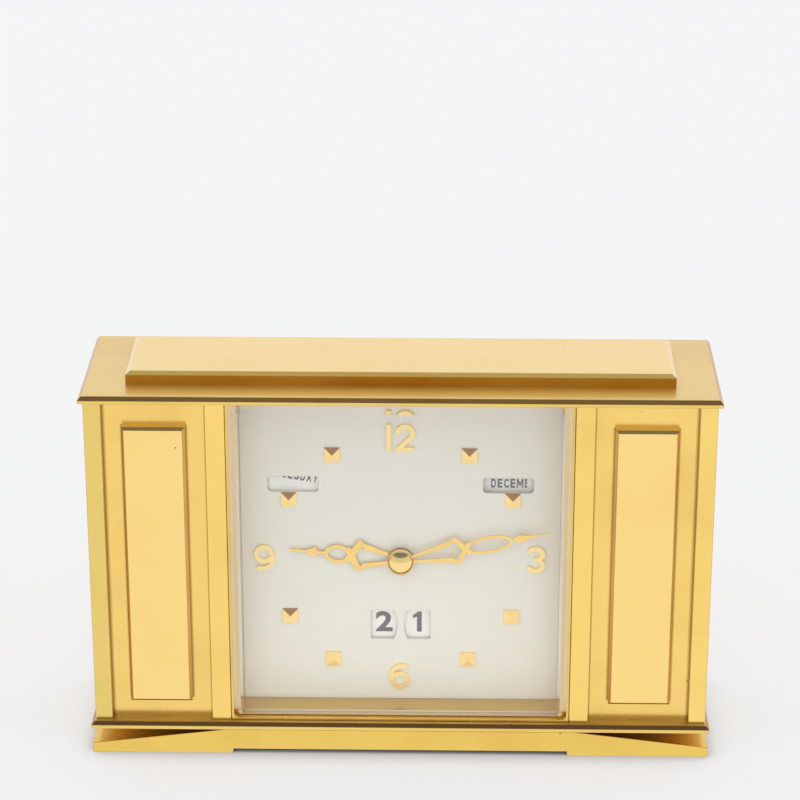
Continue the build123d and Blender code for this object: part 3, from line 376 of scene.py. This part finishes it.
def gilt_finish(name, bright, dull, roughness, metallic=1.0, brown=None):
    # brown: a painted dark reflection on faces that lean up in the dial's upper half and at its left.
    # Where it is given, the faces that lean down are made less metallic, so that they show brighter
    material, surface, place = new_finish(name, {"Metallic": metallic})
    clouds = even_noise(place, scale=240.0)
    fine = even_noise(place, scale=5200.0, detail=2.0)
    shade = mixed(clouds, tone(*bright), tone(*dull))
    if brown:
        lean = facing(place).part(2)
        dark_reflection_area = (place.part(2) > dial_middle_height).larger(place.part(0) < darkened_left_of)
        # Brown painted on the faces that lean up here stands in for a dark reflection.
        shade = mixed((lean > marker_lean) * dark_reflection_area, shade, tone(*brown))
        gilded = metallic - less_metal_below * (lean < -marker_lean)
        gilded.into(surface, "Metallic")
    shade.into(surface, "Base Color")
    rough = varied(clouds, middle=varied(fine, middle=roughness, width=0.10), width=0.06)
    rough.into(surface, "Roughness")
    return material


numeral_edge_break = 0.00010
marker_gilt = gilt_finish(
    "marker gilt", bright=(255, 226, 148), dull=(252, 214, 126), roughness=0.22, metallic=0.6,
    brown=(160, 112, 56))
numeral_gilt = gilt_finish(
    "numeral gilt", bright=(255, 230, 156), dull=(253, 220, 138), roughness=0.30, metallic=0.45)
dress(marker_gilt, "hour_markers")
dress(numeral_gilt, "hour_numerals")
soften(numeral_edge_break, "hour_numerals")

# Calendar discs: thin white sheet, printed in dark grey. The words run along the radius, the day inwards
# and the month outwards, and the figures of the date stand upright in their windows.
sheet, sheet_surface, sheet_place = new_finish("disc sheet", {})
weave = even_noise(sheet_place, scale=2600.0)
sheet_tint = mixed(weave, tone(240, 238, 231), tone(233, 231, 225))
sheet_tint.into(sheet_surface, "Base Color")
sheet_rough = varied(weave, middle=0.42, width=0.2)
sheet_rough.into(sheet_surface, "Roughness")
dress(sheet, "day_disc", "month_disc", "date_tens_disc", "date_units_disc")
ink, ink_surface, ink_place = new_finish("printed ink", {})
ink_wear = even_noise(ink_place, scale=3200.0, detail=4.0)
ink_tint = mixed(ink_wear, tone(78, 80, 82), tone(114, 114, 113))
ink_tint.into(ink_surface, "Base Color")
ink_rough = varied(ink_wear, middle=0.5, width=0.3)
ink_rough.into(ink_surface, "Roughness")
ink_lift = 0.00003
half_turn = math.pi

# Letters and figures that the font draws badly when bold, as outlines one unit tall
letter_outlines = {
    "1": ((0.18, 0.0), (0.40, 0.0), (0.40, 1.0), (0.25, 1.0), (0.0, 0.82), (0.0, 0.64), (0.18, 0.75)),
    "M": ((0.0, 0.0), (0.0, 1.0), (0.21, 1.0), (0.45, 0.50), (0.69, 1.0), (0.90, 1.0), (0.90, 0.0),
          (0.71, 0.0), (0.71, 0.60), (0.52, 0.20), (0.38, 0.20), (0.19, 0.60), (0.19, 0.0)),
    "W": ((0.0, 1.0), (0.24, 0.0), (0.43, 0.0), (0.575, 0.58), (0.72, 0.0), (0.91, 0.0), (1.15, 1.0),
          (0.95, 1.0), (0.81, 0.38), (0.66, 1.0), (0.49, 1.0), (0.34, 0.38), (0.20, 1.0)),
    "N": ((0.0, 0.0), (0.0, 1.0), (0.20, 1.0), (0.55, 0.40), (0.55, 1.0), (0.74, 1.0), (0.74, 0.0),
          (0.54, 0.0), (0.19, 0.60), (0.19, 0.0)),
}
letter_gap = 0.17
widest_letter = {"M": 0.76, "W": 0.95}
usual_widest = 0.57
boldest_letter = {"B": 0.032}


def letter(body, weight):
    # One narrow letter as a flat bmesh, one unit tall, that starts at the origin
    shape = bmesh.new()
    if body in letter_outlines:
        shape.faces.new([shape.verts.new((across, up, 0.0)) for across, up in letter_outlines[body]])
    else:
        text = bpy.data.curves.new(body, "FONT")
        text.body = body
        text.offset = min(weight, boldest_letter.get(body, weight))
        text.fill_mode = "FRONT"
        holder = bpy.data.objects.new(body, text)
        flat = bpy.data.meshes.new_from_object(holder)
        shape.from_mesh(flat)
        bpy.data.objects.remove(holder)
        bpy.data.curves.remove(text)
        bpy.data.meshes.remove(flat)
    low = [min(point.co[axis] for point in shape.verts) for axis in (0, 1)]
    wide, tall = [max(point.co[axis] for point in shape.verts) - low[axis] for axis in (0, 1)]
    bmesh.ops.translate(shape, verts=shape.verts, vec=(-low[0], -low[1], 0.0))
    width = min(wide / tall, widest_letter.get(body, usual_widest))
    bmesh.ops.scale(shape, verts=shape.verts, vec=(width / wide, 1 / tall, 1.0))
    return shape


def add_shape(whole, shape):
    # Moves a bmesh into another one
    mesh = bpy.data.meshes.new("shape")
    shape.to_mesh(mesh)
    shape.free()
    whole.from_mesh(mesh)
    bpy.data.meshes.remove(mesh)


def printed(word, weight):
    # A word as a flat bmesh that starts at the origin, one unit wide and tall
    row, reach = bmesh.new(), 0.0
    for body in word:
        shape = letter(body, weight)
        width = max(point.co.x for point in shape.verts)
        bmesh.ops.translate(shape, verts=shape.verts, vec=(reach, 0.0, 0.0))
        add_shape(row, shape)
        reach += width + letter_gap
    bmesh.ops.scale(row, verts=row.verts, vec=(1 / (reach - letter_gap), 1.0, 1.0))
    return row


def print_disc(name, disc, body, words):
    # words: (word, weight, angle on the disc, turn of the word, start, width, height, rise, end of print)
    low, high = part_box(disc)
    middle = (low + high) / 2
    sheet_print = bmesh.new()
    for word, weight, angle, turn, start, width, height, rise, end in words:
        shape = printed(word, weight)
        bmesh.ops.scale(shape, verts=shape.verts, vec=(width, height, 1.0))
        bmesh.ops.translate(shape, verts=shape.verts, vec=(start, rise, 0.0))
        if end is not None:
            whole = shape.verts[:] + shape.edges[:] + shape.faces[:]
            bmesh.ops.bisect_plane(
                shape, geom=whole, plane_co=(end, 0.0, 0.0), plane_no=(1.0, 0.0, 0.0), clear_outer=True)
        placed = Matrix.Translation((middle.x, low.y - ink_lift, middle.z))
        placed = placed @ Matrix.Rotation(half_turn / 2, 4, "X") @ Matrix.Rotation(angle + turn, 4, "Z")
        bmesh.ops.transform(shape, matrix=placed, verts=shape.verts)
        add_shape(sheet_print, shape)
    mesh = bpy.data.meshes.new(name)
    sheet_print.to_mesh(mesh)
    sheet_print.free()
    mesh.materials.append(ink)
    piece = bpy.data.objects.new(name, mesh)
    bpy.context.scene.collection.objects.link(piece)
    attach(piece, body)


word_weight, word_height, word_rise, word_pitch = 0.040, 0.00315, -0.0018, 0.00196
day_rise = -0.0014
day_tilt, day_end, day_longest = math.radians(10), 0.0065, 0.0150
days = ["TUESDAY", "WEDNESDAY", "THURSDAY", "FRIDAY", "SATURDAY", "SUNDAY", "MONDAY"]
day_words = []
for step, word in enumerate(days):
    angle = half_turn - day_tilt + 2 * half_turn * step / len(days)
    width = min(word_pitch * len(word), day_longest)
    day_words.append(
        (word, word_weight, angle, half_turn, -day_end - width, width, word_height, day_rise, None))
print_disc("day_print", "day_disc", "day_calendar", day_words)

month_start, month_pitch, month_print_end = 0.0087, 0.00209, 0.0204
months = ["DECEMBER", "JANUARY", "FEBRUARY", "MARCH", "APRIL", "MAY", "JUNE", "JULY", "AUGUST",
          "SEPTEMBER", "OCTOBER", "NOVEMBER"]
month_words = []
for step, word in enumerate(months):
    angle = 2 * half_turn * step / len(months)
    width = month_pitch * len(word)
    month_words.append(
        (word, word_weight, angle, 0.0, month_start, width, word_height, word_rise, month_print_end))
print_disc("month_print", "month_disc", "month_calendar", month_words)

figure_weight, figure_height, figure_rise = 0.032, 0.0074, -0.0033
figure_widths, figure_radii = {"1": 0.0029}, {"1": 0.01505}
usual_width = {"date_tens": 0.0056, "date_units": 0.0044}
usual_radius = {"date_tens": 0.01505, "date_units": 0.0155}
for name, figures, window in (("date_tens", "23012301", 0.0), ("date_units", "1234567890", half_turn)):
    figure_words = []
    for step, figure in enumerate(figures):
        angle = window + 2 * half_turn * step / len(figures)
        width = figure_widths.get(figure, usual_width[name])
        radius = figure_radii.get(figure, usual_radius[name])
        start = (radius if window == 0.0 else -radius) - width / 2
        figure_words.append(
            (figure, figure_weight, angle, window, start, width, figure_height, figure_rise, None))
    print_disc(name + "_print", name + "_disc", name + "_calendar", figure_words)

# Movement: two brass plates on turned pillars, the dial's posts, brass wheels on steel arbors, and a
# balance that a coil drives. The plates are ground, and the wheels are cut and left bright.
ground, cut = (300.0, 3000.0, 3000.0), (2600.0, 2600.0, 2600.0)
movement_brass = satin_brass(
    "movement brass", ground, bright=(226, 192, 118), dull=(206, 168, 96), roughness=0.34, coat=0.1)
wheel_brass = satin_brass(
    "wheel brass", cut, bright=(234, 198, 116), dull=(214, 176, 98), roughness=0.28, coat=0.1)
dress(movement_brass, "movement_front_plate", "movement_rear_plate", "movement_pillars", "rear_spacers",
      "dial_posts")
dress(wheel_brass, "centre_wheel", "hour_wheel", "minute_wheel", "third_wheel", "index_wheel",
      "balance_wheel")
arbor_steel = turned_steel("arbor steel", colour=(196, 198, 204), roughness=0.22)
dress(arbor_steel, "minute_arbor", "balance_staff", "hairspring")
copper, copper_surface, copper_place = new_finish("coil wire", {"Metallic": 1.0})
# The turns are banded from dark to bright copper: painted shade in the grooves between them.
shaded_turns = copper_place.node(
    "ShaderNodeTexWave", {"bands_direction": "Y"}, {"Vector": copper_place, "Scale": 1100.0})
copper_tint = mixed(shaded_turns, tone(120, 62, 34), tone(214, 128, 82))
copper_tint.into(copper_surface, "Base Color")
copper_rough = 0.3 + shaded_turns * 0.15
copper_rough.into(copper_surface, "Roughness")
dress(copper, "drive_coil")

# Hands and hub: pierced from thin brass sheet, gilt and polished. The hour hand is pressed on its pipe,
# the minute hand on its arbor, and a domed cap covers the middle.
hand_edge_break = 0.00012
hand_gilt = gilt_finish("hand gilt", bright=(255, 219, 128), dull=(244, 202, 106), roughness=0.20)
hub_gilt = gilt_finish("hub gilt", bright=(255, 226, 144), dull=(252, 216, 128), roughness=0.12)
dress(hand_gilt, "hour_hand", "minute_hand")
dress(hub_gilt, "hub_cap")
soften(hand_edge_break, "hour_hand", "minute_hand")

# Rear cover and battery door: brass sheet, brushed lengthwise, screwed to the flanges of the side plates.
# Five fluted brass knobs stand out of it, one for the hands and one for each calendar disc.
cover_brass = satin_brass(
    "cover brass", lengthwise, bright=(236, 200, 118), dull=(206, 162, 84), roughness=0.36, coat=0.3)
along_knob = (2600.0, 500.0, 2600.0)
knob_brass = satin_brass(
    "knob brass", along_knob, bright=(242, 204, 116), dull=(214, 168, 84), roughness=0.24, coat=0.3)
dress(cover_brass, "rear_cover", "battery_door")
dress(knob_brass, "hand_setting_knob", "day_knob", "month_knob", "date_tens_knob", "date_units_knob")

# Battery in its holder: a moulded black trough behind the right panel with a nickel-plated contact at
# each end. The cell has a plain dark sleeve that stops short of its bare metal ends.
black, black_surface, black_place = new_finish("holder plastic", {"IOR": 1.5})
pores = even_noise(black_place, scale=2200.0)
black_tint = mixed(pores, tone(30, 30, 31), tone(44, 44, 45))
black_tint.into(black_surface, "Base Color")
black_rough = varied(pores, middle=0.5, width=0.2)
black_rough.into(black_surface, "Roughness")
dress(black, "battery_holder")
nickel = turned_steel("contact nickel", colour=(214, 212, 204), roughness=0.24)
dress(nickel, "battery_contacts")
lower_bare_end, upper_bare_end = 0.0012, 0.0042
sleeve, sleeve_surface, sleeve_place = new_finish("cell sleeve", {"IOR": 1.5})
cell_low, cell_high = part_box("battery")
cell_height = sleeve_place.part(2)
bare_end = (cell_height < cell_low.z + lower_bare_end) + (cell_height > cell_high.z - upper_bare_end)
wrap = even_noise(sleeve_place, scale=500.0)
sleeve_tint = mixed(wrap, tone(52, 58, 70), tone(64, 70, 82))
sleeve_tint = mixed(bare_end, sleeve_tint, tone(206, 205, 200))
sleeve_tint.into(sleeve_surface, "Base Color")
bare_end.into(sleeve_surface, "Metallic")
sleeve_rough = varied(wrap, middle=0.28, width=0.1)
sleeve_rough.into(sleeve_surface, "Roughness")
dress(sleeve, "battery")


# Table: a plain pale sheet that runs far behind the clock, so that no edge of it shows. Metal and glass
# see it white. It glows in part, so that it is as pale as the room, and it is shaded close to the foot.
def ray_kinds(tree):
    # 1 or 0: the ray is seen as it is, it comes off metal or through glass, and nothing dull has turned it
    path = tree.nodes.new("ShaderNodeLightPath")
    names = ("Is Camera Ray", "Is Glossy Ray", "Is Transmission Ray", "Diffuse Depth")
    seen, glossy, through, dulled = [Shade(tree, path.outputs[name]) for name in names]
    return seen, glossy.larger(through), dulled < 0.5


white = tone(255, 255, 255)
background_level = 0.896
floor_half = 9.0
floor_mesh = bpy.data.meshes.new("floor")
floor_shape = bmesh.new()
bmesh.ops.create_grid(floor_shape, x_segments=1, y_segments=1, size=floor_half)
floor_shape.to_mesh(floor_mesh)
floor_shape.free()
floor = bpy.data.objects.new("floor", floor_mesh)
bpy.context.scene.collection.objects.link(floor)
paper_glow_share = 0.60
contact_reach, contact_base, contact_gain = 0.010, 0.30, 0.80
paper, paper_surface, paper_place = new_finish(
    "table paper", {"Base Color": tone(239, 240, 242), "Roughness": 0.9, "Specular IOR Level": 0.0})
seen, in_metal, undulled = ray_kinds(paper.node_tree)
paper_level = in_metal + background_level * (1 - in_metal)
paper_glow = paper_place.node("ShaderNodeEmission", {}, {"Color": white, "Strength": paper_level})
paper_share = in_metal * undulled + paper_glow_share * seen
paper_dull = Shade(paper.node_tree, paper_surface.outputs[0])
paper_lit = paper_place.node("ShaderNodeMixShader", {}, {0: paper_share, 1: paper_dull, 2: paper_glow})
open_above = paper_place.node(
    "ShaderNodeAmbientOcclusion", {"samples": 8}, {"Distance": contact_reach}, output=1)
covered = 1 - open_above
contact_share = seen * covered * (contact_base + contact_gain * covered)
contact = paper_place.node("ShaderNodeEmission", {}, {"Color": tone(40, 40, 40), "Strength": 1.0})
paper_shaded = paper_place.node("ShaderNodeMixShader", {}, {0: contact_share, 1: paper_lit, 2: contact})
paper_shaded.into(paper.node_tree.nodes["Material Output"], "Surface")
floor_mesh.materials.append(paper)

# Light: a white room. To metal and glass it is bright behind, half bright low in front and dim elsewhere,
# with a paler patch overhead, and to everything else it is even. A low lamp in front fills the dial.
world = bpy.data.worlds.new("room")
bpy.context.scene.world = world
world.use_nodes = True
room = world.node_tree
for old in list(room.nodes):
    room.nodes.remove(old)
outward = Shade(room, room.nodes.new("ShaderNodeTexCoord").outputs["Generated"])
across, back, up = [outward.part(axis) for axis in (0, 1, 2)]
seen, in_metal, undulled = ray_kinds(room)
mirrored = in_metal * undulled
behind = back.ramp(-0.05, 0.45, shape="SMOOTHSTEP")
overhead = up.ramp(0.88, 0.995, shape="SMOOTHSTEP")
front_low = up.ramp(0.72, 0.42, shape="SMOOTHSTEP")
beside = abs(across).ramp(0.20, 0.50, 0.60, 0.65, "SMOOTHSTEP")
dim_level, overhead_level, behind_level = 0.12, 0.36, 0.80
even_level, even_drop_behind = 1.11, 0.08
in_front = overhead_level * overhead + front_low * beside
sheen = dim_level + in_front * (1 - behind) + behind_level * behind
even = even_level - even_drop_behind * behind
level = mirrored * sheen + (1 - mirrored) * even
level = seen * background_level + (1 - seen) * level
glow = room.nodes.new("ShaderNodeBackground")
glow.inputs["Color"].default_value = white
level.into(glow, "Strength")
room.links.new(glow.outputs[0], room.nodes.new("ShaderNodeOutputWorld").inputs["Surface"])

lamp_data = bpy.data.lights.new("low lamp", "AREA")
lamp_data.shape = "RECTANGLE"
lamp_data.size = 0.30
lamp_data.size_y = 0.012
lamp_data.energy = 0.0075
lamp_data.spread = math.radians(60)
lamp = bpy.data.objects.new("low lamp", lamp_data)
lamp.location = (0.0, -0.115, 0.006)
lamp.rotation_euler = (math.radians(102), 0.0, 0.0)
lamp.visible_glossy = False
lamp.visible_transmission = False
bpy.context.scene.collection.objects.link(lamp)

# Camera: a long lens a little above the clock, looking down at it.
# Its place and turn were fitted to the corners of the plates, the strips and the foot.
view_data = bpy.data.cameras.new("camera")
view_data.lens = 129.7
view_data.sensor_width = 36.0
view_data.clip_start = 0.01
camera = bpy.data.objects.new("camera", view_data)
camera.location = (0.0151, -0.8651, 0.4634)
camera.rotation_euler = (math.radians(68.05), 0.0, math.radians(1.03))
bpy.context.scene.collection.objects.link(camera)
bpy.context.scene.camera = camera
